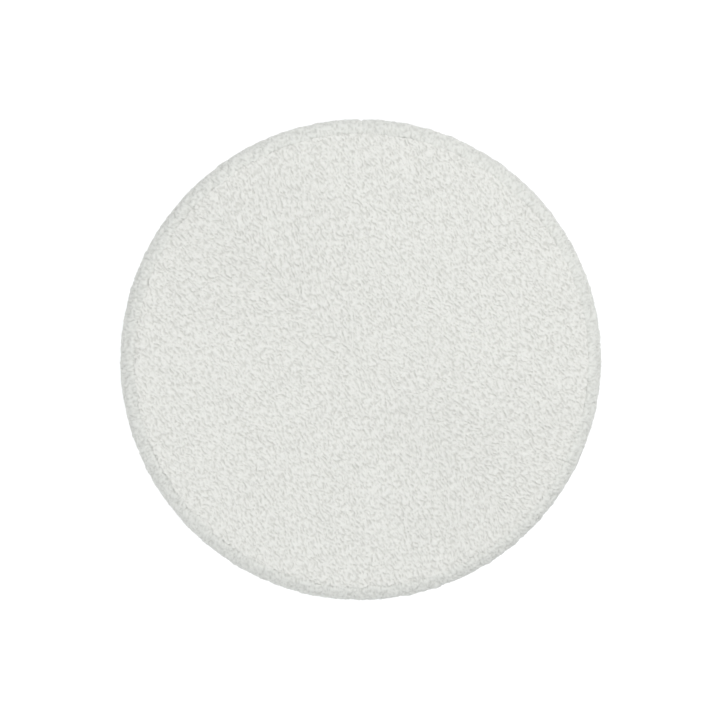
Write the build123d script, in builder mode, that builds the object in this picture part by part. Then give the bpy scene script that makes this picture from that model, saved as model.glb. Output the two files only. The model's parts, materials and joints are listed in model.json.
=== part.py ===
from build123d import *

import os
from math import sqrt

# Round padded stool for a bathroom or shower, in millimetres.
#
# The origin is on the floor under the middle of the seat, +Z is up and -Y is the front.
# Seat: plywood disc, foam disc, stapled inner cover, and a removable curly-pile cover that an
# elastic hem holds under the rim. Frame: four bent tube legs bolted up into the seat, tied by a
# ring. Feet: swivelling levelling feet that screw in and out of the legs.

# ---- Driving dimensions ----
SEAT_RADIUS = 175.0  # over the pile
SEAT_TOP = 450.0  # top of the pile above the floor, with the feet at their normal setting
EDGE_ROUND = 12.0  # rolled upper edge of the seat, over the pile
RIM_ROUND = 8.0  # lower edge of the seat, over the pile
SEAM_RADIUS = 165.6  # sewn seam between the cover's top panel and side band
PILE = 5.0  # cover fabric, backing and curls together
LINER = 1.0  # inner cover cloth
FOAM_THICKNESS = 40.0
BOARD_THICKNESS = 12.0
HEM_OPENING = 136.0  # radius of the mouth of the cover under the seat
LINER_OPENING = 126.0  # radius of the mouth of the inner cover

LEG_COUNT = 4
LEG_REACH = 150.0  # upright's axis from the stool's axis
LEG_TUBE = 9.5  # outer radius of the leg tube
LEG_WALL = 1.5
LEG_BEND = 38.0  # bend radius on the tube's axis
LEG_INNER_END = 26.0  # where the run under the seat starts, from the stool's axis
LEG_FOOT_END = 22.0  # height of the upright's lower end
BOLT_REACHES = (48.0, 98.0)  # seat bolts along each leg, from the stool's axis
SPACER_HEIGHT = 8.0  # from the top of the tube to the board, so that the hem slides out

RING_HEIGHT = 140.0
RING_TUBE = 7.0  # outer radius of the ring's tube
RING_WALL = 1.2
RING_GAP = 6.0  # between the ring's tube and the legs

THREAD_GAP = 0.05  # radial clearance that stands for each thread's fit
SWIVEL_GAP = 0.06  # clearance of the foot's swivel
M6 = 3.0  # thread radii
M8 = 4.0
CLEARANCE_HOLE = 3.2  # for an M6 screw

# ---- Levels and radii that follow from them ----
liner_radius = SEAT_RADIUS - PILE
pad_radius = liner_radius - LINER
liner_top = SEAT_TOP - PILE
foam_top = liner_top - LINER
board_top = foam_top - FOAM_THICKNESS
board_bottom = board_top - BOARD_THICKNESS
liner_bottom = board_bottom - LINER
hem_bottom = liner_bottom - PILE
run_height = board_bottom - SPACER_HEIGHT - LEG_TUBE  # axis of the tube under the seat
leg_bore = LEG_TUBE - LEG_WALL
ring_radius = LEG_REACH - LEG_TUBE - RING_GAP - RING_TUBE
ring_outside = ring_radius + RING_TUBE

CORNERS = {"front_right": -45.0, "rear_right": 45.0, "rear_left": 135.0, "front_left": -135.0}


def save(part, label):
    part.label = label
    export_step(part, f"parts/{label}.step")


def around(part, count=LEG_COUNT, first_angle=45.0):
    """The same piece at equal turns about the stool's axis, as one group of solids."""
    with BuildPart() as group:
        with PolarLocations(0, count, start_angle=first_angle):
            add(part)
    return group.part


# ---- Seat ----
def rounded_disc(radius, bottom, top, upper_round, lower_round):
    """A disc on the stool's axis with both rims rounded."""
    with BuildPart() as disc:
        with BuildSketch(Plane.XY.offset(bottom)):
            Circle(radius)
        extrude(amount=top - bottom)
        fillet(disc.edges().sort_by(Axis.Z)[-1], upper_round)
        fillet(disc.edges().sort_by(Axis.Z)[0], lower_round)
    return disc.part


T_NUT_FLANGE = 9.5
T_NUT_PLATE = 1.5
T_NUT_BARREL = 4.0
T_NUT_LENGTH = 10.5
PRONG_REACH = 7.6
PRONG_LENGTH = 6.0
PRONG_WIDTH = 2.4
PRONG_THICKNESS = 1.0
PRONG_TAPER = 4.0  # degrees


def make_seat_board():
    """Plywood disc with counterbored holes for the T-nuts, and slits where staples go in."""
    with BuildPart() as seat_board:
        with BuildSketch(Plane.XY.offset(board_bottom)):
            Circle(pad_radius)
        extrude(amount=BOARD_THICKNESS)
        fillet(seat_board.edges().sort_by(Axis.Z)[0], RIM_ROUND - PILE - LINER)
        with Locations(Plane.XY.offset(board_top)):
            with PolarLocations(0, LEG_COUNT, start_angle=45):
                with Locations(*((reach, 0) for reach in BOLT_REACHES)):
                    CounterBoreHole(T_NUT_BARREL, T_NUT_FLANGE, T_NUT_PLATE)
        add(make_t_nuts(), mode=Mode.SUBTRACT)
        add(make_staples(), mode=Mode.SUBTRACT)
    return seat_board.part


def make_foam_pad():
    with BuildPart() as foam_pad:
        with BuildSketch(Plane.XY.offset(board_top)):
            Circle(pad_radius)
        extrude(amount=FOAM_THICKNESS)
        fillet(foam_pad.edges().sort_by(Axis.Z)[-1], EDGE_ROUND - PILE - LINER)
    return foam_pad.part


def make_inner_cover():
    with BuildPart() as inner_cover:
        add(rounded_disc(liner_radius, liner_bottom, liner_top, EDGE_ROUND - PILE, RIM_ROUND - PILE))
        add(
            rounded_disc(
                pad_radius, board_bottom, foam_top, EDGE_ROUND - PILE - LINER, RIM_ROUND - PILE - LINER
            ),
            mode=Mode.SUBTRACT,
        )
        with BuildSketch(Plane.XY.offset(liner_bottom)):
            Circle(LINER_OPENING)
        extrude(amount=LINER, mode=Mode.SUBTRACT)
        add(make_staples(), mode=Mode.SUBTRACT)
    return inner_cover.part


STAPLE_COUNT = 28
STAPLE_RADIUS = 131.0
STAPLE_WIDTH = 10.0
STAPLE_WIRE = 0.9
STAPLE_DEPTH = 7.0


def make_staples():
    """Upholstery staples that hold the inner cover under the board, crowns along the rim."""
    with BuildPart() as staple:
        with BuildSketch(Plane.YZ.offset(STAPLE_RADIUS - STAPLE_WIRE / 2)):
            with Locations((0, liner_bottom - STAPLE_WIRE)):
                Rectangle(STAPLE_WIDTH, STAPLE_WIRE + STAPLE_DEPTH, align=(Align.CENTER, Align.MIN))
            with Locations((0, liner_bottom)):
                Rectangle(
                    STAPLE_WIDTH - 2 * STAPLE_WIRE,
                    STAPLE_DEPTH,
                    align=(Align.CENTER, Align.MIN),
                    mode=Mode.SUBTRACT,
                )
        extrude(amount=STAPLE_WIRE)
    return around(staple.part, STAPLE_COUNT, 360 / STAPLE_COUNT / 2)


ELASTIC_WIDTH = 7.0
ELASTIC_THICKNESS = 1.5
HEM_EDGE = 2.0  # fabric between the elastic and the mouth of the cover
TUNNEL_ROOF = 0.5  # backing cloth above the elastic
elastic_inside = HEM_OPENING + HEM_EDGE
elastic_top = liner_bottom - TUNNEL_ROOF


def make_hem_elastic():
    with BuildPart() as hem_elastic:
        with BuildSketch(Plane.XY.offset(elastic_top)):
            Circle(elastic_inside + ELASTIC_WIDTH)
            Circle(elastic_inside, mode=Mode.SUBTRACT)
        extrude(amount=-ELASTIC_THICKNESS)
    return hem_elastic.part


def make_cover():
    """The removable cover as its two sewn pieces, the top panel and the side band with its hem."""
    with BuildPart() as shell:
        add(rounded_disc(SEAT_RADIUS, hem_bottom, SEAT_TOP, EDGE_ROUND, RIM_ROUND))
        add(
            rounded_disc(liner_radius, liner_bottom, liner_top, EDGE_ROUND - PILE, RIM_ROUND - PILE),
            mode=Mode.SUBTRACT,
        )
        with BuildSketch(Plane.XY.offset(hem_bottom)):
            Circle(HEM_OPENING)
        extrude(amount=PILE, mode=Mode.SUBTRACT)
        add(make_hem_elastic(), mode=Mode.SUBTRACT)
    with BuildPart() as inside_seam:
        with BuildSketch(Plane.XY.offset(hem_bottom + PILE)):
            Circle(SEAM_RADIUS)
        extrude(amount=SEAT_TOP - hem_bottom)
    with BuildPart() as top_panel:
        add(shell.part)
        add(inside_seam.part, mode=Mode.INTERSECT)
    with BuildPart() as side_band:
        add(shell.part)
        add(inside_seam.part, mode=Mode.SUBTRACT)
    return top_panel.part, side_band.part


# ---- Fixings between the seat and the legs ----
def make_t_nuts():
    with BuildPart() as t_nut:
        with BuildSketch(Plane.XY.offset(board_top)):
            Circle(T_NUT_FLANGE)
        extrude(amount=-T_NUT_PLATE)
        with BuildSketch(Plane.XY.offset(board_top)):
            Circle(T_NUT_BARREL)
        extrude(amount=-T_NUT_LENGTH)
        with BuildSketch(Plane.XY.offset(board_top - T_NUT_PLATE)):
            with PolarLocations(PRONG_REACH, 4):
                Rectangle(PRONG_THICKNESS, PRONG_WIDTH)
        extrude(amount=-PRONG_LENGTH, taper=PRONG_TAPER)
        with Locations((0, 0, board_top)):
            Hole(M6 + THREAD_GAP, depth=T_NUT_LENGTH)
    return seat_fixings(t_nut.part)


def seat_fixings(part):
    """A piece on the Z axis, copied to each of the seat's bolts."""
    with BuildPart() as group:
        with PolarLocations(0, LEG_COUNT, start_angle=45):
            with Locations(*((reach, 0) for reach in BOLT_REACHES)):
                add(part)
    return group.part


SPACER_RADIUS = 9.0
SADDLE_DEPTH = 5.0  # how far a spacer reaches down over the tube


def make_seat_spacers():
    """Nylon spacers, flat against the board and saddle-shaped on the tube."""
    with BuildPart() as spacer:
        with BuildSketch(Plane.XY.offset(board_bottom)):
            Circle(SPACER_RADIUS)
            Circle(CLEARANCE_HOLE, mode=Mode.SUBTRACT)
        extrude(amount=-(SPACER_HEIGHT + SADDLE_DEPTH))
        with BuildSketch(Plane.YZ.offset(-LEG_TUBE)):
            with Locations((0, run_height)):
                Circle(LEG_TUBE)
        extrude(amount=2 * LEG_TUBE, mode=Mode.SUBTRACT)
    return seat_fixings(spacer.part)


BOLT_HEAD = 5.25
BOLT_HEAD_HEIGHT = 3.3
BOLT_LENGTH = 20.0
SOCKET_ACROSS_FLATS = 4.0
SOCKET_DEPTH = 2.0
HEAD_ROUNDING = 0.7  # of the head's height
TIP_CHAMFER = 0.7


def button_screw(length):
    """An M6 button-head screw on the Z axis, its head's seat at the origin and its shank up."""
    with BuildPart() as screw:
        with BuildSketch():
            Circle(BOLT_HEAD)
        extrude(amount=-BOLT_HEAD_HEIGHT)
        fillet(screw.edges().sort_by(Axis.Z)[0], BOLT_HEAD_HEIGHT * HEAD_ROUNDING)
        with BuildSketch():
            Circle(M6)
        extrude(amount=length)
        chamfer(screw.edges().sort_by(Axis.Z)[-1], TIP_CHAMFER)
        with BuildSketch(Plane.XY.offset(-BOLT_HEAD_HEIGHT)):
            RegularPolygon(SOCKET_ACROSS_FLATS / 2, 6, major_radius=False)
        extrude(amount=SOCKET_DEPTH, mode=Mode.SUBTRACT)
    return screw.part


def make_seat_bolts():
    """The heads sit inside the tubes, against the curve of the upper wall."""
    seat_level = run_height + sqrt(leg_bore**2 - BOLT_HEAD**2) - THREAD_GAP
    return seat_fixings(button_screw(BOLT_LENGTH).moved(Location((0, 0, seat_level))))


# ---- Legs ----
ACCESS_HOLE = 6.0  # lets a seat bolt's head into the tube


def make_leg():
    """One leg in the XZ plane, reaching out along +X."""
    with BuildPart() as leg:
        with BuildLine(Plane.XZ) as path:
            FilletPolyline(
                (LEG_INNER_END, run_height),
                (LEG_REACH, run_height),
                (LEG_REACH, LEG_FOOT_END),
                radius=LEG_BEND,
            )
        with BuildSketch(Plane(origin=path.line @ 0, z_dir=path.line % 0)):
            Circle(LEG_TUBE)
            Circle(leg_bore, mode=Mode.SUBTRACT)
        sweep()
        with BuildSketch(Plane.XY.offset(run_height)):
            with Locations(*((reach, 0) for reach in BOLT_REACHES)):
                Circle(CLEARANCE_HOLE)
        extrude(amount=LEG_TUBE, mode=Mode.SUBTRACT)
        with BuildSketch(Plane.XY.offset(run_height)):
            with Locations(*((reach, 0) for reach in BOLT_REACHES)):
                Circle(ACCESS_HOLE)
        extrude(amount=-LEG_TUBE, mode=Mode.SUBTRACT)
        with BuildSketch(Plane.YZ.offset(LEG_REACH - LEG_TUBE)):
            with Locations((0, RING_HEIGHT)):
                Circle(CLEARANCE_HOLE)
        extrude(amount=2 * LEG_TUBE, mode=Mode.SUBTRACT)
    return leg.part


PLUG_CAP = 2.0
PLUG_DEPTH = 12.0
PLUG_ROUND = 1.2


def make_leg_end_plugs():
    """Caps in the open ends of the runs under the seat."""
    with BuildPart() as plug:
        with BuildSketch(Plane.YZ.offset(LEG_INNER_END)):
            with Locations((0, run_height)):
                Circle(LEG_TUBE)
        extrude(amount=-PLUG_CAP)
        fillet(plug.edges().sort_by(Axis.X)[0], PLUG_ROUND)
        with BuildSketch(Plane.YZ.offset(LEG_INNER_END)):
            with Locations((0, run_height)):
                Circle(leg_bore)
                Circle(leg_bore - LEG_WALL, mode=Mode.SUBTRACT)
        extrude(amount=PLUG_DEPTH)
    return around(plug.part)


INSERT_FLANGE = 2.0
INSERT_DEPTH = 20.0
INSERT_CHAMFER = 0.6


def make_leg_inserts():
    """Threaded plugs in the lower ends of the legs, which the feet screw into."""
    with BuildPart() as insert:
        with BuildSketch(Plane.XY.offset(LEG_FOOT_END)):
            Circle(LEG_TUBE)
        extrude(amount=-INSERT_FLANGE)
        chamfer(insert.edges().sort_by(Axis.Z)[0], INSERT_CHAMFER)
        with BuildSketch(Plane.XY.offset(LEG_FOOT_END)):
            Circle(leg_bore)
        extrude(amount=INSERT_DEPTH)
        with BuildSketch(Plane.XY.offset(LEG_FOOT_END - INSERT_FLANGE)):
            Circle(M8 + THREAD_GAP)
        extrude(amount=INSERT_FLANGE + INSERT_DEPTH, mode=Mode.SUBTRACT)
    return around(insert.part.moved(Location((LEG_REACH, 0, 0))))


# ---- Ring and its fixings ----
NUT_BARREL = 4.5
NUT_LENGTH = 10.0
RING_SCREW_LENGTH = 35.0
WASHER_RADIUS = 6.5
WASHER_THICKNESS = 1.5
SADDLE_WRAP = 3.0


def make_stretcher_ring():
    with BuildPart() as stretcher_ring:
        with BuildSketch(Plane.XZ):
            with Locations((ring_radius, RING_HEIGHT)):
                Circle(RING_TUBE)
                Circle(RING_TUBE - RING_WALL, mode=Mode.SUBTRACT)
        revolve(axis=Axis.Z)
        add(around(radial_cylinder(NUT_BARREL, ring_radius, ring_outside)), mode=Mode.SUBTRACT)
    return stretcher_ring.part


def radial_cylinder(radius, start, end):
    """A cylinder along +X at the ring's height, between two distances from the stool's axis."""
    with BuildPart() as cylinder:
        with BuildSketch(Plane.YZ.offset(start)):
            with Locations((0, RING_HEIGHT)):
                Circle(radius)
        extrude(amount=end - start)
    return cylinder.part


def make_ring_nuts():
    """Rivet nuts set flush in the ring's outer wall."""
    with BuildPart() as nut:
        add(radial_cylinder(NUT_BARREL, ring_outside - NUT_LENGTH, ring_outside))
        add(radial_cylinder(M6 + THREAD_GAP, 0, LEG_REACH), mode=Mode.SUBTRACT)
        with BuildSketch(Plane.XZ):
            with Locations((ring_radius, RING_HEIGHT)):
                Circle(RING_TUBE)
        revolve(axis=Axis.Z, mode=Mode.INTERSECT)
    return around(nut.part)


def upright():
    """The solid outside of one leg's upright, to shape what sits against it."""
    with BuildPart() as tube:
        with BuildSketch():
            with Locations((LEG_REACH, 0)):
                Circle(LEG_TUBE)
        extrude(amount=2 * RING_HEIGHT)
    return tube.part


def make_ring_spacers():
    """Nylon spacers with a saddle for the ring at one end and one for the leg at the other."""
    with BuildPart() as spacer:
        add(radial_cylinder(WASHER_RADIUS, ring_outside - SADDLE_WRAP, LEG_REACH - LEG_TUBE + SADDLE_WRAP))
        add(radial_cylinder(CLEARANCE_HOLE, 0, LEG_REACH), mode=Mode.SUBTRACT)
        add(upright(), mode=Mode.SUBTRACT)
        with BuildSketch(Plane.XZ):
            with Locations((ring_radius, RING_HEIGHT)):
                Circle(RING_TUBE)
        revolve(axis=Axis.Z, mode=Mode.SUBTRACT)
    return around(spacer.part)


def make_saddle_washers():
    """Shaped washers between the ring screws' heads and the outside of the legs."""
    outside = LEG_REACH + LEG_TUBE
    with BuildPart() as washer:
        add(radial_cylinder(WASHER_RADIUS, outside - SADDLE_WRAP, outside + WASHER_THICKNESS))
        add(radial_cylinder(CLEARANCE_HOLE, 0, 2 * LEG_REACH), mode=Mode.SUBTRACT)
        add(upright(), mode=Mode.SUBTRACT)
    return around(washer.part)


def make_ring_screws():
    head_seat = LEG_REACH + LEG_TUBE + WASHER_THICKNESS
    inward = Location((head_seat, 0, RING_HEIGHT), (0, -90, 0))
    return around(button_screw(RING_SCREW_LENGTH).moved(inward))


# ---- Levelling feet, each on the Z axis until it is moved to its leg ----
SOLE_RADIUS = 18.0
SOLE_THICKNESS = 4.0
SOLE_LIP = 3.5  # how far the sole reaches up round the base
SOLE_WALL = 1.5
SOLE_LIP_ROUND = 0.9
SOLE_CHAMFER = 0.8
SOLE_GROOVES = (7.0, 12.0)  # radii of the drainage grooves underneath
GROOVE = 1.2
BASE_SHOULDER = 8.0  # height where the base starts to narrow to its neck
BASE_TOP = 11.7
BASE_NECK = 8.5
POCKET_FLOOR = 5.4
STUD_DISC = 6.4
STUD_DISC_THICKNESS = 3.0
HEX_ACROSS_FLATS = 13.0
HEX_BOTTOM = 12.0
HEX_TOP = 17.0
STUD_TOP = 48.0
STUD_CHAMFER = 1.0
base_radius = SOLE_RADIUS - SOLE_WALL


def make_foot_sole():
    with BuildPart() as foot_sole:
        with BuildSketch():
            Circle(SOLE_RADIUS)
        extrude(amount=SOLE_THICKNESS + SOLE_LIP)
        fillet(foot_sole.edges().sort_by(Axis.Z)[-1], SOLE_LIP_ROUND)
        chamfer(foot_sole.edges().sort_by(Axis.Z)[0], SOLE_CHAMFER)
        with BuildSketch(Plane.XY.offset(SOLE_THICKNESS)):
            Circle(base_radius)
        extrude(amount=SOLE_LIP, mode=Mode.SUBTRACT)
        with BuildSketch():
            for radius in SOLE_GROOVES:
                Circle(radius + GROOVE / 2)
                Circle(radius - GROOVE / 2, mode=Mode.SUBTRACT)
        extrude(amount=GROOVE, mode=Mode.SUBTRACT)
    return foot_sole.part


def make_foot_base():
    """Nylon base with a pocket that lets the stud's disc turn but not pull out."""
    pocket_top = POCKET_FLOOR + STUD_DISC_THICKNESS + 2 * SWIVEL_GAP
    with BuildPart() as foot_base:
        with BuildSketch(Plane.XZ):
            with BuildLine():
                Polyline(
                    (0, SOLE_THICKNESS),
                    (base_radius, SOLE_THICKNESS),
                    (base_radius, BASE_SHOULDER),
                    (BASE_NECK, BASE_TOP),
                    (0, BASE_TOP),
                    close=True,
                )
            make_face()
        revolve(axis=Axis.Z)
        with BuildSketch(Plane.XY.offset(POCKET_FLOOR)):
            Circle(STUD_DISC + SWIVEL_GAP)
        extrude(amount=pocket_top - POCKET_FLOOR, mode=Mode.SUBTRACT)
        with BuildSketch(Plane.XY.offset(POCKET_FLOOR)):
            Circle(M8 + SWIVEL_GAP)
        extrude(amount=BASE_TOP - POCKET_FLOOR, mode=Mode.SUBTRACT)
    return foot_base.part


def make_foot_stud():
    """M8 stud with a hexagon for the spanner and a disc that turns in the base."""
    with BuildPart() as foot_stud:
        with BuildSketch(Plane.XY.offset(POCKET_FLOOR + SWIVEL_GAP)):
            Circle(STUD_DISC)
        extrude(amount=STUD_DISC_THICKNESS)
        with BuildSketch(Plane.XY.offset(POCKET_FLOOR + SWIVEL_GAP)):
            Circle(M8)
        extrude(amount=STUD_TOP - POCKET_FLOOR - SWIVEL_GAP)
        chamfer(foot_stud.edges().sort_by(Axis.Z)[-1], STUD_CHAMFER)
        with BuildSketch(Plane.XY.offset(HEX_BOTTOM)):
            RegularPolygon(HEX_ACROSS_FLATS / 2, 6, major_radius=False)
        extrude(amount=HEX_TOP - HEX_BOTTOM)
    return foot_stud.part


def main():
    os.makedirs("parts", exist_ok=True)
    top_panel, side_band = make_cover()
    save(top_panel, "cover_top_panel")
    save(side_band, "cover_side_band")
    save(make_hem_elastic(), "hem_elastic")
    save(make_inner_cover(), "inner_cover")
    save(make_staples(), "staples")
    save(make_foam_pad(), "foam_pad")
    save(make_seat_board(), "seat_board")
    save(make_t_nuts(), "t_nuts")
    save(make_seat_bolts(), "seat_bolts")
    save(make_seat_spacers(), "seat_spacers")
    save(make_leg_end_plugs(), "leg_end_plugs")
    save(make_leg_inserts(), "leg_inserts")
    save(make_stretcher_ring(), "stretcher_ring")
    save(make_ring_nuts(), "ring_nuts")
    save(make_ring_spacers(), "ring_spacers")
    save(make_saddle_washers(), "saddle_washers")
    save(make_ring_screws(), "ring_screws")
    at_leg = Location((LEG_REACH, 0, 0))
    for corner, angle in CORNERS.items():
        turn = Location((0, 0, 0), (0, 0, angle))
        save(make_leg().moved(turn), f"leg_{corner}")
        save(make_foot_sole().moved(turn * at_leg), f"foot_sole_{corner}")
        save(make_foot_base().moved(turn * at_leg), f"foot_base_{corner}")
        save(make_foot_stud().moved(turn * at_leg), f"foot_stud_{corner}")


main()
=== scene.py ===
import json
from math import cos, pi, radians, sin

import bpy
import numpy as np
from mathutils import Matrix, Vector


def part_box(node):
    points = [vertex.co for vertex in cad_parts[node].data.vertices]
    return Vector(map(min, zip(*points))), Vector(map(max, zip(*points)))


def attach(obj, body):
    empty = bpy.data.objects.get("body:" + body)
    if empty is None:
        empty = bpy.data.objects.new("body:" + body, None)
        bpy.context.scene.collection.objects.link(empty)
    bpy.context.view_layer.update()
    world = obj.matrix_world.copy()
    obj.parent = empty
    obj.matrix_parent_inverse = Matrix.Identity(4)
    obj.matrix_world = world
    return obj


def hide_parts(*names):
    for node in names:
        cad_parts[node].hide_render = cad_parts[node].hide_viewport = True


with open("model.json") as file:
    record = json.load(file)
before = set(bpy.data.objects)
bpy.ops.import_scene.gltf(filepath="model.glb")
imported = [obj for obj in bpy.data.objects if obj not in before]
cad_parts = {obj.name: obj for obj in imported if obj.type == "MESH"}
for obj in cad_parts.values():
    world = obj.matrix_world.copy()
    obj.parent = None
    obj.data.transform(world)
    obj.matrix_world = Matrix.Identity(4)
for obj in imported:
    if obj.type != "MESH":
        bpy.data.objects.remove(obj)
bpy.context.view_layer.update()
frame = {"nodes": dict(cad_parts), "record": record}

# Round shower stool: the looks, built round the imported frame. Metres, +Z up.
# The pile cover is two closed meshes, the top panel and the side band with its gathered hem.
# Everything else is the CAD part's own shape with a procedural material.

MM = 0.001

# ---- Places from the frame ----
PANEL_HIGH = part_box("cover_top_panel")[1]
BAND_LOW, BAND_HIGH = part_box("cover_side_band")
LINER_LOW, LINER_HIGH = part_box("inner_cover")
ELASTIC_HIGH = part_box("hem_elastic")[1]
SEAT_TOP = PANEL_HIGH[2]
SEAM_RADIUS = PANEL_HIGH[0]
SEAT_RADIUS = BAND_HIGH[0]
HEM_BOTTOM = BAND_LOW[2]
MID_HEIGHT = (SEAT_TOP + HEM_BOTTOM) / 2
LINER_RADIUS = LINER_HIGH[0]
LINER_TOP = LINER_HIGH[2]
LINER_BOTTOM = LINER_LOW[2]
HEM_ROW = ELASTIC_HIGH[0]
MOUTH_RADIUS = HEM_ROW - 9 * MM  # the hem's edge, inside its elastic
HEM_CORNER = SEAT_RADIUS - 6 * MM  # where the side has turned under the seat

# ---- Top panel ----
CROWN = 0.5 * MM  # how far the foam bulges in the middle, before the cloth swells
CROWN_FALL = 1.6  # how far it falls to the edge, as a multiple of that
UNEVEN = 0.15 * MM  # how uneven the foam is
UNEVEN_SIZE = 45 * MM
PANEL_SINK = 0.6 * MM  # how far its backing lies under the top of the pile
EDGE_WIDTH = 2.4 * MM  # how wide and deep its edge turns down into the seam
EDGE_DEPTH = 0.8 * MM
EDGE_TURN = 0.93  # share of the width after which it no longer gets steeper

# ---- Seam, hem and join of the side band ----
SEAM_TUCK = 2.6 * MM  # how much of the side band's edge is tucked under the top panel
SEAM_OVERHANG = 1.1 * MM  # how far its pile stands over the seam in places
SEAM_SPREAD = 2.2 * MM  # how wide a strip of its edge does that
GATHERS = 74
GATHER_WAVE = 1.4 * MM  # height of the gathers, and of the level that they rise and fall from
GATHER_LIFT = -0.9 * MM
STITCH_ROW = HEM_ROW + 1.5 * MM
STITCH_DEPTH = 0.9 * MM
STITCH_WIDTH = 1.1 * MM
JOIN_DEPTH = 1.0 * MM
JOIN_WIDTH = 1.3 * MM
STITCHES = 230
THREAD_RADIUS = 0.3 * MM

# ---- Pile of the cover ----
LOCK_LENGTH = 3.5 * MM
LOCK_WIDTH = 1.8 * MM
LOCK_RELIEF = 0.68 * MM
LOCK_BEND = 1.25 * MM  # how far the locks wander from straight, over a length of BEND_SIZE
BEND_SIZE = 6 * MM
FINE_LOCKS = 0.8  # strength and size of the finer locks among them
FINE_SIZE = 0.6
CURL = 3.4 * MM  # size of the clumps with a crease round them
CREASE_SHARE = 0.4
CREASE_WIDTH = 0.18
LOOP = 1.4 * MM  # spacing of the loops that make up a lock
LOOP_RELIEF = 0.34 * MM
CLUMP = 7 * MM  # clumps of locks that stand out on the side band
CLUMP_RELIEF = 0.5 * MM
NAP_SLANT = radians(-52)  # the way the top panel's locks run
NAP_LEAN = 0.35  # how far a lock leans over for its height

# ---- Cloth ----
CLOTH_FRAMES = 24
CLOTH_LIMIT = 3.5 * MM  # how far the cloth may move from where it starts
CLOTH_SINK = 1.2 * MM  # how far the band may move inwards, and slide along itself
CLOTH_SLIDE = 1.0 * MM
PANEL_FULLNESS = 0.0001  # how much wider the cloth is cut than the space it has
SIDE_FULLNESS = 0.004
HEM_FULLNESS = 0.14
PANEL_PRESSURE = 0.25
BAND_PRESSURE = 1.0
PANEL_BENDING = 2.0
BAND_BENDING = 0.6

# ---- Grids: the cloth is simulated on the coarse ones ----
PANEL_GRID = 620
PANEL_CLOTH_GRID = 61
BAND_COLUMNS = 1560
BAND_SPACING = 0.7 * MM
BAND_CLOTH_COLUMNS = 400
BAND_CLOTH_SPACING = 3.2 * MM
NOISE_TABLE = 512  # cells along each side of a table of random values

# ---- Seeds of the patterns ----
UNEVEN_SEED = 5
TOP_PILE_SEED = 11
GATHER_SEED = 31
GATHER_FINE_SEED = 32
BAND_CLOTH_SEED = 35
BAND_PILE_SEED = 41
CLUMP_SEED = 42
OVERHANG_SEED = 43
OVERHANG_FINE_SEED = 44


# ---- Mesh tools ----
def link(name, data):
    """A new object in the scene that holds a mesh, camera or light."""
    made = bpy.data.objects.new(name, data)
    bpy.context.scene.collection.objects.link(made)
    return made


def build_mesh(name, points, faces, uvs):
    """A smooth mesh from an array of points and lists of same-sized face arrays with their UVs."""
    mesh = bpy.data.meshes.new(name)
    mesh.vertices.add(len(points))
    mesh.vertices.foreach_set("co", np.asarray(points, dtype=np.float32).ravel())
    corners = np.concatenate([f.ravel() for f in faces])
    sizes = np.concatenate([np.full(len(f), f.shape[1]) for f in faces])
    starts = np.concatenate([[0], np.cumsum(sizes)[:-1]])
    mesh.loops.add(len(corners))
    mesh.loops.foreach_set("vertex_index", corners.astype(np.int32))
    mesh.polygons.add(len(sizes))
    mesh.polygons.foreach_set("loop_start", starts.astype(np.int32))
    mesh.polygons.foreach_set("use_smooth", np.ones(len(sizes), dtype=bool))
    layer = mesh.uv_layers.new(name="OFBake")
    flat = np.concatenate([u.reshape(-1, 2) for u in uvs])
    layer.data.foreach_set("uv", flat.astype(np.float32).ravel())
    mesh.update(calc_edges=True)
    mesh.validate()
    return mesh


def paint(mesh, name, values):
    """Stores one number per vertex, for materials to read."""
    mesh.attributes.new(name, "FLOAT", "POINT").data.foreach_set("value", values.astype(np.float32))


def grid_faces(rows, cols, wrap=False):
    """Quads of a grid of points, and each corner's row and column, where wrap joins the columns."""
    r, c = np.meshgrid(np.arange(rows - 1), np.arange(cols if wrap else cols - 1), indexing="ij")
    r, c = r.ravel(), c.ravel()
    corner_rows = np.stack([r, r + 1, r + 1, r], axis=1)
    corner_cols = np.stack([c, c, c + 1, c + 1], axis=1)
    return corner_rows * cols + corner_cols % cols, corner_rows, corner_cols


# ---- Patterns ----
def noise(u, v, cell_u, cell_v, seed):
    """Smooth random bumps and hollows, from about -1 to 1, each some cell_u by cell_v across."""
    angle = np.random.default_rng(seed).uniform(0, 2 * pi, (NOISE_TABLE, NOISE_TABLE))
    x, y = u / cell_u, v / cell_v
    i, j = np.floor(x).astype(int), np.floor(y).astype(int)
    x, y = x - i, y - j
    blend_x, blend_y = (t**3 * (t * (6 * t - 15) + 10) for t in (x, y))

    def corner(di, dj):
        turn = angle[(i + di) % NOISE_TABLE, (j + dj) % NOISE_TABLE]
        return np.cos(turn) * (x - di) + np.sin(turn) * (y - dj)

    low = corner(0, 0) * (1 - blend_x) + corner(1, 0) * blend_x
    high = corner(0, 1) * (1 - blend_x) + corner(1, 1) * blend_x
    return 1.6 * (low * (1 - blend_y) + high * blend_y)


def waver(u, cell, seed):
    """Smooth random waves along one direction, from about -1 to 1."""
    return noise(u, u * 0, cell, 1, seed)


def ease(value, low, high):
    """0 below low, 1 above high, with a smooth change between."""
    t = np.clip((value - low) / (high - low), 0, 1)
    return t * t * (3 - 2 * t)


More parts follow.
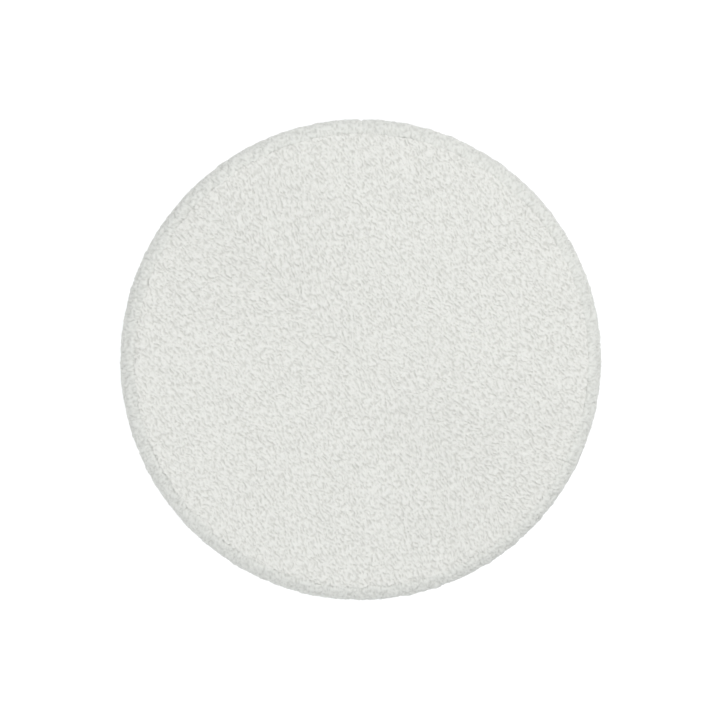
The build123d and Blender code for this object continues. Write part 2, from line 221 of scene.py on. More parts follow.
def loops(u, v, pitch, seed):
    """Height of packed round loops, about 0 between them and 1 on the crests."""
    rng = np.random.default_rng(seed)
    shape = (NOISE_TABLE, NOISE_TABLE)
    shift_u, shift_v = rng.uniform(-0.4, 0.4, shape), rng.uniform(-0.4, 0.4, shape)
    level = rng.uniform(-0.35, 0.35, shape)
    x, y = u / pitch, v / pitch
    i0, j0 = np.floor(x).astype(int), np.floor(y).astype(int)
    best = np.full(u.shape, -1.0)
    for di in range(-1, 2):
        for dj in range(-1, 2):
            i, j = (i0 + di) % NOISE_TABLE, (j0 + dj) % NOISE_TABLE
            dx = x - (i0 + di + 0.5 + shift_u[i, j])
            dy = y - (j0 + dj + 0.5 + shift_v[i, j])
            best = np.maximum(best, level[i, j] + 1 - 1.5 * (dx * dx + dy * dy))
    return best


def pile(u, v, seed, slant):
    """(displacement in metres, depth of the hollows from 0 to 1, which also sets the painted shade
    in the creases) of curly pile combed into short locks.

    u and v are lengths along the surface, and slant the angle at which the locks lie."""
    bend_u = u + LOCK_BEND * noise(u, v, BEND_SIZE, BEND_SIZE, seed + 1)
    bend_v = v + LOCK_BEND * noise(u, v, BEND_SIZE, BEND_SIZE, seed + 2)
    along = bend_u * cos(slant) + bend_v * sin(slant)
    across = bend_v * cos(slant) - bend_u * sin(slant)
    locks = noise(along, across, LOCK_LENGTH, LOCK_WIDTH, seed + 3)
    fine = noise(along, across, FINE_SIZE * LOCK_LENGTH, FINE_SIZE * LOCK_WIDTH, seed + 4)
    locks += FINE_LOCKS * fine
    locks *= 1 + 0.12 * noise(u, v, 9 * MM, 9 * MM, seed + 5)
    curl = noise(bend_u, bend_v, CURL, CURL, seed + 8)
    creases = np.exp(-((curl / CREASE_WIDTH) ** 2)) - 0.3
    shaded_hollow = ease(CREASE_SHARE * creases - locks, -0.4, 1.1)
    height = LOCK_RELIEF * (0.45 * ease(locks, -0.2, 0.9) - shaded_hollow)
    height += LOOP_RELIEF * (loops(bend_u, bend_v, LOOP, seed + 6) - 0.7)
    height += 0.05 * MM * noise(u, v, 13 * MM, 13 * MM, seed + 7)
    return height, shaded_hollow


def lengths_along(line):
    """How far along a line each of its points is."""
    return np.concatenate([[0], np.cumsum(np.hypot(*np.diff(line, axis=0).T))])


def smooth_profile(points, spacing):
    """Points at even spacing along a smooth line through the given (radius, height) points."""
    p = np.array(points, dtype=float)
    padded = np.vstack([2 * p[0] - p[1], p, 2 * p[-1] - p[-2]])
    t = np.linspace(0, 1, 24, endpoint=False)[:, None]
    runs = []
    for a, b, c, d in zip(padded, padded[1:], padded[2:], padded[3:]):
        square = (2 * a - 5 * b + 4 * c - d) * t**2
        cube = (3 * b - a - 3 * c + d) * t**3
        runs.append(0.5 * (2 * b + (c - a) * t + square + cube))
    line = np.vstack(runs + [p[-1:]])
    length = lengths_along(line)
    steps = np.linspace(0, length[-1], max(2, round(length[-1] / spacing)))
    return np.stack([np.interp(steps, length, line[:, k]) for k in (0, 1)], axis=1)


# ---- Cloth ----
def settle(start, fullness, faces, held, pressure, bending):
    """Where cloth points end up when pressure swells the cloth and the `held` points stay still.

    Fullness is how much longer the cloth was cut at each point than the space it has."""
    mesh = bpy.data.meshes.new("cloth")
    mesh.from_pydata(start.tolist(), [], faces)
    cloth = link("cloth", mesh)
    cloth.vertex_groups.new(name="held").add(held, 1.0, "REPLACE")
    snug = cloth.vertex_groups.new(name="snug")
    for index, share in enumerate(1 - fullness / fullness.max()):
        snug.add([index], float(share), "REPLACE")
    sim = cloth.modifiers.new("cloth", "CLOTH")
    settings = sim.settings
    settings.quality = 7
    settings.mass = 0.15
    settings.tension_stiffness = 20
    settings.compression_stiffness = 20
    settings.shear_stiffness = 8
    settings.bending_stiffness = bending
    settings.vertex_group_mass = "held"
    settings.vertex_group_shrink = "snug"
    settings.shrink_min = -float(fullness.max())
    settings.use_pressure = True
    settings.uniform_pressure_force = pressure
    settings.effector_weights.gravity = 0
    sim.point_cache.frame_end = CLOTH_FRAMES
    for frame_number in range(1, CLOTH_FRAMES + 1):
        bpy.context.scene.frame_set(frame_number)
    settled = cloth.evaluated_get(bpy.context.evaluated_depsgraph_get()).data
    points = np.empty(len(start) * 3, dtype=np.float32)
    settled.vertices.foreach_get("co", points)
    bpy.data.objects.remove(cloth)
    bpy.data.meshes.remove(mesh)
    bpy.context.scene.frame_set(1)
    return points.reshape(-1, 3).astype(float)


def resample(values, rows, cols, wrap=False):
    """Values of a coarse grid at fractional rows and columns, along smooth curves."""

    def weights(place, count, around):
        i = np.floor(place).astype(int)
        if not around:
            i = np.clip(i, 0, count - 2)
        t = place - i
        shares = (
            0.5 * (-(t**3) + 2 * t**2 - t),
            0.5 * (3 * t**3 - 5 * t**2 + 2),
            0.5 * (-3 * t**3 + 4 * t**2 + t),
            0.5 * (t**3 - t**2),
        )
        places = (i + k - 1 for k in range(4))
        places = (p % count if around else np.clip(p, 0, count - 1) for p in places)
        return list(zip(places, shares))

    total = np.zeros(rows.shape + values.shape[2:])
    for row, row_share in weights(rows, values.shape[0], False):
        for col, col_share in weights(cols, values.shape[1], wrap):
            total += values[row, col] * (row_share * col_share)[..., None]
    return total


# ---- Cover ----
def disc_grid(count):
    """A square grid of points spread evenly over a unit disc, as radius and angle."""
    a, b = np.meshgrid(np.linspace(-1, 1, count), np.linspace(-1, 1, count), indexing="ij")
    wide = np.abs(a) > np.abs(b)
    safe_a, safe_b = np.where(a == 0, 1e-9, a), np.where(b == 0, 1e-9, b)
    radius = np.where(wide, a, b)
    angle = np.where(wide, pi / 4 * b / safe_a, pi / 2 - pi / 4 * a / safe_b)
    return radius, angle


def border(count):
    """Indices of a square grid's border, once round."""
    index = np.arange(count * count).reshape(count, count)
    return np.concatenate([index[:-1, 0], index[-1, :-1], index[:0:-1, -1], index[0, :0:-1]])


def panel_surface(x, y):
    """Height of the top panel's backing: crowned over the foam, and a little uneven."""
    crown = CROWN * (1 - CROWN_FALL * (x * x + y * y) / SEAM_RADIUS**2)
    uneven = UNEVEN * noise(x, y, UNEVEN_SIZE, UNEVEN_SIZE, UNEVEN_SEED)
    return SEAT_TOP - PANEL_SINK + crown + uneven


def settle_panel():
    """How far the top panel's cloth moves, on a coarse grid over the disc."""
    count = PANEL_CLOTH_GRID
    radius, angle = disc_grid(count)
    x, y = radius * np.cos(angle) * SEAM_RADIUS, radius * np.sin(angle) * SEAM_RADIUS
    start = np.stack([x, y, panel_surface(x, y)], axis=2).reshape(-1, 3)
    rim = border(count)
    base = len(start)
    quads, _, _ = grid_faces(count, count)
    cone = [(base, int(b), int(a)) for a, b in zip(rim, np.roll(rim, -1))]
    start = np.vstack([start, [[0, 0, HEM_BOTTOM]]])
    held = [int(i) for i in rim] + [base]
    fullness = np.full(len(start), PANEL_FULLNESS)
    faces = quads.tolist() + cone
    moved = settle(start, fullness, faces, held, PANEL_PRESSURE, PANEL_BENDING) - start
    return CLOTH_LIMIT * np.tanh(moved[:-1].reshape(count, count, 3) / CLOTH_LIMIT)


def make_top_panel():
    """The crowned top panel, with its edge turned down into the seam."""
    count = PANEL_GRID
    radius, angle = disc_grid(count)
    x, y = radius * np.cos(angle) * SEAM_RADIUS, radius * np.sin(angle) * SEAM_RADIUS
    r = np.hypot(x, y)
    turn = np.clip((r - (SEAM_RADIUS - EDGE_WIDTH)) / EDGE_WIDTH, 0, EDGE_TURN)
    z = panel_surface(x, y) - EDGE_DEPTH * (1 - np.sqrt(1 - turn**2))
    step = np.linspace(0, 1, count)
    rows, cols = np.meshgrid(step, step, indexing="ij")
    swell = settle_panel()
    moved = resample(swell, rows * (len(swell) - 1), cols * (len(swell) - 1))
    x, y, z = x + moved[..., 0], y + moved[..., 1], z + moved[..., 2]
    slope = EDGE_DEPTH * turn / np.sqrt(1 - turn**2) / EDGE_WIDTH
    out_x, out_y = x / np.maximum(r, 1e-9), y / np.maximum(r, 1e-9)
    height, shaded_hollow = pile(x, y, TOP_PILE_SEED, NAP_SLANT)
    height *= 1 - 0.25 * turn**4
    size = np.sqrt(1 + slope**2)
    nap = NAP_LEAN * height * 0.7  # as far along X as along Y
    # At the edge the pile also leans out over the seam.
    outward = slope / size * height + turn**3 * (0.7 * height + 0.2 * MM)
    x, y = x + out_x * outward - nap, y + out_y * outward - nap
    points = np.stack([x, y, z + height / size], axis=2).reshape(-1, 3)
    quads, _, _ = grid_faces(count, count)
    rim = border(count)
    back = LINER_TOP + 0.05 * MM
    inner = points[rim].copy()
    inner[:, 2] = back
    inner[:, :2] *= (SEAM_RADIUS - 1.5 * MM) / np.hypot(inner[:, 0], inner[:, 1])[:, None]
    first = len(points)
    ring = first + np.arange(len(rim))
    walls = np.stack([rim, np.roll(rim, -1), np.roll(ring, -1), ring], axis=1)
    centre = first + len(rim)
    fan = np.stack([ring, np.roll(ring, -1), np.full(len(ring), centre)], axis=1)
    points = np.vstack([points, inner, [[0, 0, back]]])
    chart = 0.5 + points[:, :2] / (2.06 * SEAM_RADIUS)
    faces = [quads, walls, fan]
    mesh = build_mesh("cover_top", points, faces, [chart[f] for f in faces])
    # Painted shade: each point's hollow depth is stored so the material darkens the creases.
    paint(mesh, "shaded_hollow", np.concatenate([shaded_hollow.ravel(), np.zeros(len(inner) + 1)]))
    piece = link("cover_top", mesh)
    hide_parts("cover_top_panel")
    return piece


def round_the_stool(r, theta, z):
    """Points at radius r and angle theta from the band's join, which is at the rear."""
    return np.stack([-r * np.sin(theta), r * np.cos(theta), z], axis=-1)


def hem_gathers(theta, r, z):
    """(outward, upward) waves of the hem where it is drawn in by the elastic, in metres."""
    under = np.clip((HEM_CORNER - r) / (HEM_CORNER - MOUTH_RADIUS), 0, 1)
    under = under * (z < MID_HEIGHT)
    u = theta * HEM_ROW
    away_from_join = np.sin(theta / 2)
    waves = np.cos(GATHERS * theta + 2.2 * waver(u, 60 * MM, GATHER_SEED) * away_from_join)
    waves = waves + 0.5 * waver(u, 6 * MM, GATHER_FINE_SEED) * away_from_join
    lift = under**1.2 * (GATHER_WAVE * waves + GATHER_LIFT)
    return lift * 0.3, lift


def band_grid(profile, columns):
    """Angle, radius and height of a grid: rows down a (radius, height) profile, columns round."""
    theta = (np.arange(columns) * 2 * pi / columns)[None, :] * np.ones((len(profile), 1))
    r, z = profile[:, :1] * np.ones((1, columns)), profile[:, 1:] * np.ones((1, columns))
    return theta, r, z


def settle_band(profile):
    """How far the side band's cloth moves, on a coarse grid."""
    columns = BAND_CLOTH_COLUMNS
    rows = len(profile)
    theta, r, z = band_grid(profile, columns)
    out, lift = hem_gathers(theta, r, z)
    uneven = 0.3 * MM * noise(theta * SEAT_RADIUS, z + r, 9 * MM, 9 * MM, BAND_CLOTH_SEED)
    start = round_the_stool(r + out + uneven, theta, z + lift).reshape(-1, 3)
    drawn_in = (z < MID_HEIGHT) * (SEAT_RADIUS - r) / (SEAT_RADIUS - HEM_ROW)
    fullness = SIDE_FULLNESS + (HEM_FULLNESS - SIDE_FULLNESS) * np.clip(drawn_in, 0, 1)
    quads, _, _ = grid_faces(rows, columns, wrap=True)
    last = (rows - 1) * columns
    ring = range(columns)
    lid = [(len(start), i, (i + 1) % columns) for i in ring]
    floor = [(len(start) + 1, last + (i + 1) % columns, last + i) for i in ring]
    ends = [[0, 0, z[0, 0]], [0, 0, z[-1, 0]]]
    still = np.zeros((rows, columns), dtype=bool)
    still[0] = True
    still[(profile[:, 0] < HEM_ROW + 1 * MM) & (profile[:, 1] < SEAT_TOP - 20 * MM)] = True
    held = [int(i) for i in np.nonzero(still.ravel())[0]] + [len(start), len(start) + 1]
    start = np.vstack([start, ends])
    fullness = np.concatenate([fullness.ravel(), [SIDE_FULLNESS, SIDE_FULLNESS]])
    faces = quads.tolist() + lid + floor
    moved = settle(start, fullness, faces, held, BAND_PRESSURE, BAND_BENDING)[:-2]
    return moved.reshape(rows, columns, 3) - round_the_stool(r, theta, z)


def band_section():
    """(outside, inside) of the side band's section, each a list of (radius, height) points."""
    top, bottom = SEAT_TOP, HEM_BOTTOM
    outside = [
        (SEAM_RADIUS - 2.4 * MM, top - 3.0 * MM),
        (SEAM_RADIUS - 1.0 * MM, top - 2.2 * MM),
        (SEAM_RADIUS + 0.7 * MM, top - 1.6 * MM),
        (SEAM_RADIUS + 2.8 * MM, top - 1.5 * MM),
        (SEAT_RADIUS - 3.4 * MM, top - 3.9 * MM),
        (SEAT_RADIUS - 0.4 * MM, top - 9.0 * MM),
        (SEAT_RADIUS + 0.6 * MM, top - 17 * MM),
        (SEAT_RADIUS + 0.3 * MM, top - 32 * MM),
        (SEAT_RADIUS - 0.4 * MM, bottom + 15 * MM),
        (SEAT_RADIUS - 2.2 * MM, bottom + 6.5 * MM),
        (SEAT_RADIUS - 7.5 * MM, bottom + 1.6 * MM),
        (SEAT_RADIUS - 15 * MM, bottom + 0.4 * MM),
        (HEM_ROW, bottom + 0.4 * MM),
        (MOUTH_RADIUS + 2 * MM, bottom + 0.8 * MM),
        (MOUTH_RADIUS, bottom + 2.4 * MM),
    ]
    inside = [
        (MOUTH_RADIUS + 1 * MM, LINER_BOTTOM - 0.8 * MM),
        (HEM_ROW, LINER_BOTTOM - 0.1 * MM),
        (LINER_RADIUS - 4 * MM, LINER_BOTTOM - 0.1 * MM),
        (LINER_RADIUS + 0.1 * MM, LINER_BOTTOM + 4 * MM),
        (LINER_RADIUS + 0.1 * MM, MID_HEIGHT),
        (LINER_RADIUS + 0.1 * MM, LINER_TOP - 7 * MM),
        (LINER_RADIUS - 2.2 * MM, LINER_TOP - 1.8 * MM),
    ]
    return outside, inside


def band_movement(outside, outer_rows, theta):
    """(outward, round the stool, upward) movement of the band's cloth over its grid."""
    coarse = smooth_profile(outside, BAND_CLOTH_SPACING)
    moved = settle_band(coarse)
    rows, columns = theta.shape
    place = np.clip(np.arange(rows) / (outer_rows - 1), 0, 1) * (len(coarse) - 1)
    place = place[:, None] * np.ones((1, columns))
    moved = resample(moved, place, theta / (2 * pi) * moved.shape[1], wrap=True)
    outward = -moved[..., 0] * np.sin(theta) + moved[..., 1] * np.cos(theta)
    round_it = -moved[..., 0] * np.cos(theta) - moved[..., 1] * np.sin(theta)
    return outward, round_it, moved[..., 2]


def make_side_band():
    """The side band: a rolled upper edge, the slightly bulged side and the gathered hem."""
    columns = BAND_COLUMNS
    outside, inside = band_section()
    outer = smooth_profile(outside, BAND_SPACING)
    profile = np.vstack([outer, inside])
    rows = len(profile)
    v = lengths_along(profile)[:, None] * np.ones((1, columns))
    theta, r, z = band_grid(profile, columns)
    u = theta * SEAT_RADIUS
    on_outside = (np.arange(rows) < len(outer))[:, None]
    moved_r, moved_t, moved_z = band_movement(outside, len(outer), theta)
    tangent = np.gradient(profile, axis=0)
    tangent /= np.hypot(*tangent.T)[:, None]
    normal_r, normal_z = -tangent[:, 1:], tangent[:, :1]
    lifted = moved_r * normal_r + moved_z * normal_z
    slid = moved_r * tangent[:, :1] + moved_z * tangent[:, 1:]
    lifted = np.clip(lifted, -CLOTH_SINK, CLOTH_LIMIT)
    slid = np.clip(slid, -CLOTH_SLIDE, CLOTH_SLIDE)
    moved_t = np.clip(moved_t, -CLOTH_LIMIT, CLOTH_LIMIT)
    # How far each point is under the seat, from 0 to 1, and the grooves of the stitches and join.
    under = np.clip((HEM_CORNER - r) / (30 * MM), 0, 1) * (z < MID_HEIGHT)
    stitch_groove = np.exp(-(((r - STITCH_ROW) / STITCH_WIDTH) ** 2)) * (under > 0)
    from_join = (pi - np.abs(theta - pi)) * SEAT_RADIUS
    join = np.exp(-((from_join / JOIN_WIDTH) ** 2)) * (1 - under)
    height, shaded_hollow = pile(u, v, BAND_PILE_SEED, pi / 2)
    height += CLUMP_RELIEF * noise(u, v, CLUMP, CLUMP, CLUMP_SEED)
    roll = np.clip(v / (14 * MM), 0, 1)  # 0 at the seam, 1 once round the rolled edge
    height *= (0.9 + 0.2 * roll) * (1 - 0.4 * under) * (1 - join)
    height -= STITCH_DEPTH * stitch_groove + JOIN_DEPTH * join
    # The pile covers the seam in some places and leaves it open in others.
    cover = 0.4 + 0.6 * ease(waver(u, 24 * MM, OVERHANG_SEED), -0.5, 0.4)
    cover = cover + 0.35 * waver(u, 5 * MM, OVERHANG_FINE_SEED)
    overhang = cover * np.exp(-(((v - SEAM_TUCK) / SEAM_SPREAD) ** 2))
    lifted = (lifted + height + SEAM_OVERHANG * overhang) * on_outside
    r = r + normal_r * lifted + tangent[:, :1] * slid * on_outside
    z = z + normal_z * lifted + tangent[:, 1:] * slid * on_outside
    z -= NAP_LEAN * np.abs(height) * roll * (1 - under) * on_outside
    theta = theta + moved_t * on_outside / SEAT_RADIUS
    points = round_the_stool(r, theta, z).reshape(-1, 3)
    quads, quad_rows, quad_cols = grid_faces(rows, columns, wrap=True)
    last = (rows - 1) * columns
    ring = np.arange(columns)
    close = np.stack([last + ring, ring, np.roll(ring, -1), last + np.roll(ring, -1)], axis=1)
    chart_top = 0.98  # the rest of the chart is for the closing row
    chart = np.stack([quad_cols / columns, chart_top * v[:, 0][quad_rows] / v[-1, 0]], axis=2)
    close_across = np.stack([ring, ring, ring + 1, ring + 1], axis=1) / columns
    close_up = np.array([chart_top, 1, 1, chart_top]) * np.ones((columns, 1))
    close_chart = np.stack([close_across, close_up], axis=2)
    mesh = build_mesh("cover_band", points, [quads, close], [chart, close_chart])
    # Painted shade: each point's hollow depth is stored so the material darkens the creases.
    paint(mesh, "shaded_hollow", (shaded_hollow * on_outside).ravel())
    piece = link("cover_band", mesh)
    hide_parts("cover_side_band")
    not_hem = (profile[:, 1] > MID_HEIGHT) | ~on_outside[:, 0]
    row = int(np.argmin(np.abs(profile[:, 0] - STITCH_ROW) + not_hem))
    return piece, make_stitches(r[row], z[row])


def make_stitches(r, z):
    """Thread that sews the hem's tunnel: a short bent run for each stitch, on a row of the band."""
    count, sides, steps = STITCHES, 8, 9
    s = np.linspace(0, 1, steps)[None, :, None]
    theta = (np.arange(count)[:, None, None] + 0.12 + 0.76 * s) * 2 * pi / count
    columns = np.arange(len(r)) * 2 * pi / len(r)
    middle_r = np.interp(theta, columns, r, period=2 * pi)
    middle_z = np.interp(theta, columns, z, period=2 * pi) + 0.35 * MM - 1.0 * MM * np.sin(pi * s)
    about = (np.arange(sides) * 2 * pi / sides)[None, None, :]
    size = THREAD_RADIUS * np.sqrt(np.sin(pi * (0.02 + 0.96 * s)))
    r, z = middle_r + size * np.cos(about), middle_z + size * np.sin(about)
    points = round_the_stool(r, theta + 0 * about, z).reshape(-1, 3)
    quads, quad_rows, quad_cols = grid_faces(steps, sides, wrap=True)
    ends = np.array([np.arange(sides)[::-1], (steps - 1) * sides + np.arange(sides)])
    chart = np.stack([quad_rows / steps, quad_cols / sides], axis=2)
    end_chart = [0.96 + 0.015 * np.cos(about[0]), 0.5 + 0.4 * np.sin(about[0])]
    end_chart = np.stack(end_chart, axis=2)
    end_chart = np.concatenate([end_chart, end_chart + [0.02, 0]])
    first = (np.arange(count) * steps * sides)[:, None, None]
    cell = np.stack([np.arange(count), np.zeros(count)], axis=1)[:, None, None, :]
    squeeze = np.array([1 / count, 1])
    faces = [(first + quads).reshape(-1, 4), (first + ends).reshape(-1, sides)]
    charts = [(cell + chart) * squeeze, (cell + end_chart) * squeeze]
    mesh = build_mesh("hem_stitches", points, faces, charts)
    piece = link("hem_stitches", mesh)
    return piece


# ---- Materials ----
def new_material(name):
    material = bpy.data.materials.new(name)
    material.use_nodes = True
    return material, material.node_tree.nodes, material.node_tree.links


def node(nodes, kind, **values):
    """A new node with values for its sockets, or for its settings where no socket has the name."""
    made = nodes.new(kind)
    for key, value in values.items():
        socket = key.replace("_", " ")
        if socket in made.inputs:
            made.inputs[socket].default_value = value
        else:
            setattr(made, key, value)
    return made


def ramp(nodes, stops):
    """A colour ramp through (place, colour) stops."""
    made = nodes.new("ShaderNodeValToRGB")
    elements = made.color_ramp.elements
    while len(elements) < len(stops):
        elements.new(0.5)
    for element, (place, colour) in zip(elements, stops):
        element.position = place
        element.color = (*colour, 1)
    return made


def roughness_range(nodes, low, high):
    made = nodes.new("ShaderNodeMapRange")
    made.inputs["To Min"].default_value = low
    made.inputs["To Max"].default_value = high
    return made


def drive(links, pattern, shader, tint, rough=None, bump=None):
    """Wires a pattern to the shader's colour, and to its roughness and bump where given."""
    links.new(pattern, tint.inputs["Fac"])
    links.new(tint.outputs["Color"], shader.inputs["Base Color"])
    if rough is not None:
        links.new(pattern, rough.inputs["Value"])
        links.new(rough.outputs["Result"], shader.inputs["Roughness"])
    if bump is not None:
        links.new(pattern, bump.inputs["Height"])
        links.new(bump.outputs["Normal"], shader.inputs["Normal"])


def pile_material(name, crest, shaded_hollow):
    """Curly pile: painted shade that makes the creases darker and warmer, fine fibres and a soft
    sheen.
    """
    material, nodes, links = new_material(name)
    shader = nodes["Principled BSDF"]
    shader.inputs["Roughness"].default_value = 0.92
    shader.inputs["Sheen Weight"].default_value = 0.25
    shader.inputs["Sheen Roughness"].default_value = 0.5
    shader.inputs["Specular IOR Level"].default_value = 0.2
    place = node(nodes, "ShaderNodeTexCoord")
    fibres = node(nodes, "ShaderNodeTexNoise", Scale=900.0, Detail=4.0, Distortion=1.6)
    patches = node(nodes, "ShaderNodeTexNoise", Scale=38.0, Detail=2.0)
    shaded_hollow_place = node(nodes, "ShaderNodeAttribute", attribute_name="shaded_hollow")
    # Painted shade: the hollows of the pile are tinted towards the darker colour, with a little
    # fibre tone mixed in.
    shaded_hollow_share, fibre_share = 0.75, 0.3
    crease_shade_and_fibres = node(nodes, "ShaderNodeMath", operation="MULTIPLY_ADD")
    crease_shade_and_fibres.inputs[1].default_value = shaded_hollow_share
    tint = ramp(nodes, [(0.1, crest), (0.9, shaded_hollow)])
    patch_mix = node(nodes, "ShaderNodeMix", data_type="RGBA", blend_type="MULTIPLY")
    patch_mix.inputs["Factor"].default_value = 1.0
    patch_tint = ramp(nodes, [(0.3, (0.98, 0.98, 0.98)), (0.7, (1, 1, 1))])
    bump = node(nodes, "ShaderNodeBump", Strength=0.55, Distance=0.5 * MM)
    shade = node(nodes, "ShaderNodeMath", operation="MULTIPLY")
    shade.inputs[1].default_value = fibre_share
    for texture in (fibres, patches):
        links.new(place.outputs["Object"], texture.inputs["Vector"])
    links.new(fibres.outputs["Fac"], shade.inputs[0])
    links.new(shaded_hollow_place.outputs["Fac"], crease_shade_and_fibres.inputs[0])
    links.new(shade.outputs[0], crease_shade_and_fibres.inputs[2])
    links.new(crease_shade_and_fibres.outputs[0], tint.inputs["Fac"])
    links.new(patches.outputs["Fac"], patch_tint.inputs["Fac"])
    links.new(tint.outputs["Color"], patch_mix.inputs["A"])
    links.new(patch_tint.outputs["Color"], patch_mix.inputs["B"])
    links.new(patch_mix.outputs["Result"], shader.inputs["Base Color"])
    links.new(fibres.outputs["Fac"], bump.inputs["Height"])
    links.new(bump.outputs["Normal"], shader.inputs["Normal"])
    return material


def chrome_material():
    """Bright tube with faint smudges, as it has after use."""
    material, nodes, links = new_material("chrome")
    shader = nodes["Principled BSDF"]
    shader.inputs["Metallic"].default_value = 1.0
    place = node(nodes, "ShaderNodeTexCoord")
    smudges = node(nodes, "ShaderNodeTexNoise", Scale=22.0, Detail=6.0, Distortion=0.8)
    tint = ramp(nodes, [(0.35, (0.5, 0.505, 0.515)), (0.7, (0.57, 0.575, 0.58))])
    rough = roughness_range(nodes, 0.05, 0.2)
    links.new(place.outputs["Object"], smudges.inputs["Vector"])
    drive(links, smudges.outputs["Fac"], shader, tint, rough=rough)
    return material


def speckled_material(name, low, high, scale, roughness, metallic=0.0, bump_strength=0.2):
    """A plain moulded or plated surface: slight change of colour and a fine grain."""
    material, nodes, links = new_material(name)
    shader = nodes["Principled BSDF"]
    shader.inputs["Metallic"].default_value = metallic
    place = node(nodes, "ShaderNodeTexCoord")
    grain = node(nodes, "ShaderNodeTexNoise", Scale=scale, Detail=5.0)
    tint = ramp(nodes, [(0.35, low), (0.65, high)])
    rough = roughness_range(nodes, roughness - 0.08, roughness + 0.1)
    bump = node(nodes, "ShaderNodeBump", Strength=bump_strength, Distance=0.2 * MM)
    links.new(place.outputs["Object"], grain.inputs["Vector"])
    drive(links, grain.outputs["Fac"], shader, tint, rough=rough, bump=bump)
    return material


def plywood_material():
    """Face veneer with its grain along X."""
    material, nodes, links = new_material("plywood")
    shader = nodes["Principled BSDF"]
    shader.inputs["Roughness"].default_value = 0.6
    place = node(nodes, "ShaderNodeTexCoord")
    stretch = node(nodes, "ShaderNodeMapping")
    stretch.inputs["Scale"].default_value = (6, 90, 90)
    grain = node(nodes, "ShaderNodeTexNoise", Scale=1.0, Detail=8.0, Distortion=0.6)
    stops = [(0.3, (0.52, 0.36, 0.2)), (0.55, (0.66, 0.49, 0.3)), (0.75, (0.74, 0.58, 0.38))]
    bump = node(nodes, "ShaderNodeBump", Strength=0.3, Distance=0.3 * MM)
    links.new(place.outputs["Object"], stretch.inputs["Vector"])
    links.new(stretch.outputs["Vector"], grain.inputs["Vector"])
    drive(links, grain.outputs["Fac"], shader, ramp(nodes, stops), bump=bump)
    return material


def cloth_material(name, low, high, thread):
    """A plain weave of threads along X and Y, for flat cloth."""
    material, nodes, links = new_material(name)
    shader = nodes["Principled BSDF"]
    shader.inputs["Roughness"].default_value = 0.9
    place = node(nodes, "ShaderNodeTexCoord")
    warp = node(nodes, "ShaderNodeTexWave", bands_direction="X", Scale=1 / thread, Distortion=0.4)
    weft = node(nodes, "ShaderNodeTexWave", bands_direction="Y", Scale=1 / thread, Distortion=0.4)
    weave = node(nodes, "ShaderNodeMath", operation="MULTIPLY")
    tint = ramp(nodes, [(0.1, low), (0.8, high)])
    bump = node(nodes, "ShaderNodeBump", Strength=0.6, Distance=0.2 * MM)
    for wave in (warp, weft):
        links.new(place.outputs["Object"], wave.inputs["Vector"])
    links.new(warp.outputs["Fac"], weave.inputs[0])
    links.new(weft.outputs["Fac"], weave.inputs[1])
    drive(links, weave.outputs[0], shader, tint, bump=bump)
    return material


def thread_material():
    """Sewing thread: two plies twisted together."""
    material, nodes, links = new_material("sewing_thread")
    shader = nodes["Principled BSDF"]
    shader.inputs["Roughness"].default_value = 0.7
    shader.inputs["Sheen Weight"].default_value = 0.3
    place = node(nodes, "ShaderNodeTexCoord")
    plies = node(nodes, "ShaderNodeTexWave", Scale=700.0, Distortion=0.6)
    plies.bands_direction = "DIAGONAL"
    tint = ramp(nodes, [(0.2, (0.62, 0.61, 0.57)), (0.7, (0.8, 0.79, 0.75))])
    bump = node(nodes, "ShaderNodeBump", Strength=0.6, Distance=0.1 * MM)
    links.new(place.outputs["Object"], plies.inputs["Vector"])
    drive(links, plies.outputs["Fac"], shader, tint, bump=bump)
    return material


def finish_cad_nodes():
    """Gives every CAD node that still shows the material of its slot in the record."""
    # Name, two colours, scale of the grain, roughness, and where needed metallic and bump.
    speckled = {
        "stainless": ("satin_steel", (0.5, 0.5, 0.5), (0.6, 0.6, 0.59), 400, 0.3, 1.0),
        "zinc_steel": ("zinc_plate", (0.5, 0.52, 0.54), (0.66, 0.66, 0.64), 120, 0.35, 1.0),
        "grey_nylon": ("nylon", (0.13, 0.135, 0.14), (0.16, 0.165, 0.17), 900, 0.5),
        "sole_rubber": ("rubber", (0.05, 0.052, 0.055), (0.075, 0.078, 0.08), 500, 0.8),
        "foam": ("foam", (0.7, 0.66, 0.5), (0.85, 0.81, 0.66), 1200, 0.9, 0.0, 0.8),
    }
    # Name, two colours and the spacing of the threads.
    woven = {
        "calico": ("calico", (0.5, 0.47, 0.4), (0.72, 0.69, 0.6), 1.1 * MM),
        "elastic": ("elastic_weave", (0.6, 0.6, 0.58), (0.82, 0.82, 0.8), 1.6 * MM),
    }
    by_slot = {slot: speckled_material(*values) for slot, values in speckled.items()}
    by_slot.update({slot: cloth_material(*values) for slot, values in woven.items()})
    by_slot["tube_chrome"] = chrome_material()
    by_slot["plywood"] = plywood_material()
    for subpart in frame["record"]["subparts"]:
        finish = by_slot.get(subpart["material_slot"])
        part = frame["nodes"][subpart["node"]]
        if finish is not None:
            part.data.materials.clear()
            part.data.materials.append(finish)


# ---- Studio ----
SKY_STRENGTH = 1.14
SKY_STOPS = [  # by the sine of the elevation, so 0 is the horizon and all below it
    (0.0, (0.72, 0.73, 0.74)),
    (0.1, (0.62, 0.63, 0.64)),
    (0.2, (0.3, 0.31, 0.32)),
    (0.42, (0.34, 0.35, 0.36)),
    (0.55, (1.0, 1.01, 1.02)),
    (1.0, (1.28, 1.3, 1.32)),
]
BACKDROP = (0.93, 0.94, 0.95, 1)
FLOOR_REACH = 12
SENSOR_WIDTH = 36
VIEW_DISTANCE = 2.4
VIEW_HALF_WIDTH = 0.2638  # what half the frame takes in at the target
VIEW_TIP = radians(3)
VIEW_HEADING = radians(135)
VIEW_TARGET = Vector((-1.2 * MM, 0.3 * MM, SEAT_TOP - 12 * MM))


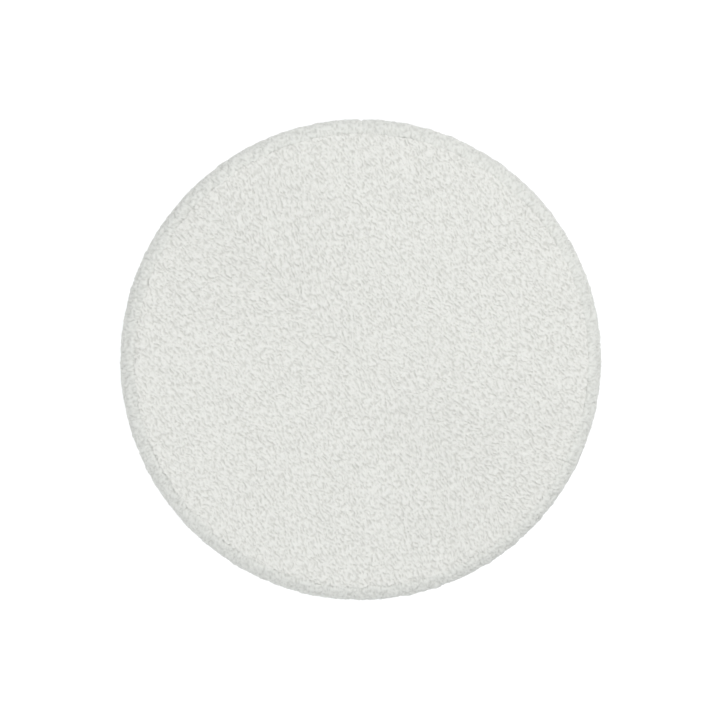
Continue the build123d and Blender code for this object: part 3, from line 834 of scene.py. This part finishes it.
def make_camera():
    """The photograph's view: almost straight above the seat, tipped a little to its rear left."""
    data = bpy.data.cameras.new("camera")
    data.sensor_width = SENSOR_WIDTH
    data.lens = data.sensor_width / 2 / (VIEW_HALF_WIDTH / VIEW_DISTANCE)
    camera = link("camera", data)
    tip, heading = VIEW_TIP, VIEW_HEADING
    back = Vector((sin(tip) * cos(heading), sin(tip) * sin(heading), cos(tip)))
    camera.location = VIEW_TARGET + back * VIEW_DISTANCE
    right = Vector((0, 1, 0)).cross(back).normalized()
    turn = Matrix((right, back.cross(right), back)).transposed()
    camera.rotation_mode = "QUATERNION"
    camera.rotation_quaternion = turn.to_quaternion()
    bpy.context.scene.camera = camera


def make_light(name, heading, elevation, distance, size, energy, colour=(1, 1, 1)):
    """A soft round light at this heading and elevation in degrees, turned to the stool."""
    data = bpy.data.lights.new(name, "AREA")
    data.shape = "DISK"
    data.size = size
    data.energy = energy
    data.color = colour
    lamp = link(name, data)
    h, e = radians(heading), radians(elevation)
    back = Vector((cos(h) * cos(e), sin(h) * cos(e), sin(e)))
    lamp.location = Vector((0, 0, SEAT_TOP / 2)) + back * distance
    lamp.rotation_mode = "QUATERNION"
    lamp.rotation_quaternion = back.to_track_quat("Z", "Y")
    lamp.visible_camera = False


def make_sky():
    """Soft light from overhead, with a darker band low round the room that metal can reflect."""
    world = bpy.data.worlds.new("studio")
    bpy.context.scene.world = world
    world.use_nodes = True
    nodes, links = world.node_tree.nodes, world.node_tree.links
    background = nodes["Background"]
    background.inputs["Strength"].default_value = SKY_STRENGTH
    place = node(nodes, "ShaderNodeTexCoord")
    split = node(nodes, "ShaderNodeSeparateXYZ")
    room = ramp(nodes, SKY_STOPS)
    seen = node(nodes, "ShaderNodeLightPath")
    plain = node(nodes, "ShaderNodeMix", data_type="RGBA")
    plain.inputs["B"].default_value = BACKDROP
    links.new(place.outputs["Generated"], split.inputs["Vector"])
    links.new(split.outputs["Z"], room.inputs["Fac"])
    links.new(seen.outputs["Is Camera Ray"], plain.inputs["Factor"])
    links.new(room.outputs["Color"], plain.inputs["A"])
    links.new(plain.outputs["Result"], background.inputs["Color"])


def make_studio():
    """The sky, two lights and a pale floor that the stool stands on."""
    bpy.context.scene.view_settings.view_transform = "Standard"
    make_sky()
    make_light("key", heading=50, elevation=38, distance=2.6, size=1.3, energy=14)
    cool = (0.95, 0.98, 1.0)
    make_light("fill", heading=205, elevation=35, distance=2.6, size=1.6, energy=6, colour=cool)
    mesh = bpy.data.meshes.new("floor")
    far = FLOOR_REACH
    corners = [(-far, -far, 0), (far, -far, 0), (far, far, 0), (-far, far, 0)]
    mesh.from_pydata(corners, [], [(0, 1, 2, 3)])
    floor = link("floor", mesh)
    low, high = (0.955, 0.955, 0.955), (0.97, 0.97, 0.97)
    mesh.materials.append(speckled_material("pale_floor", low, high, 3, 0.8, bump_strength=0))


make_camera()
make_studio()
finish_cad_nodes()
top = make_top_panel()
band, stitches = make_side_band()
# The darker hollow colours are painted shade in the creases of the pile.
top_pile = pile_material("pile_top", crest=(0.695, 0.691, 0.656), shaded_hollow=(0.56, 0.555, 0.52))
# The side band is the same cloth as the top, painted a little darker and cooler as painted shade on
# the side.
shaded_band_pile = pile_material("pile_band", crest=(0.672, 0.673, 0.638), shaded_hollow=(0.55, 0.55, 0.516))
finishes = ((top, top_pile), (band, shaded_band_pile), (stitches, thread_material()))
for piece, finish in finishes:
    piece.data.materials.append(finish)
    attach(piece, "stool")
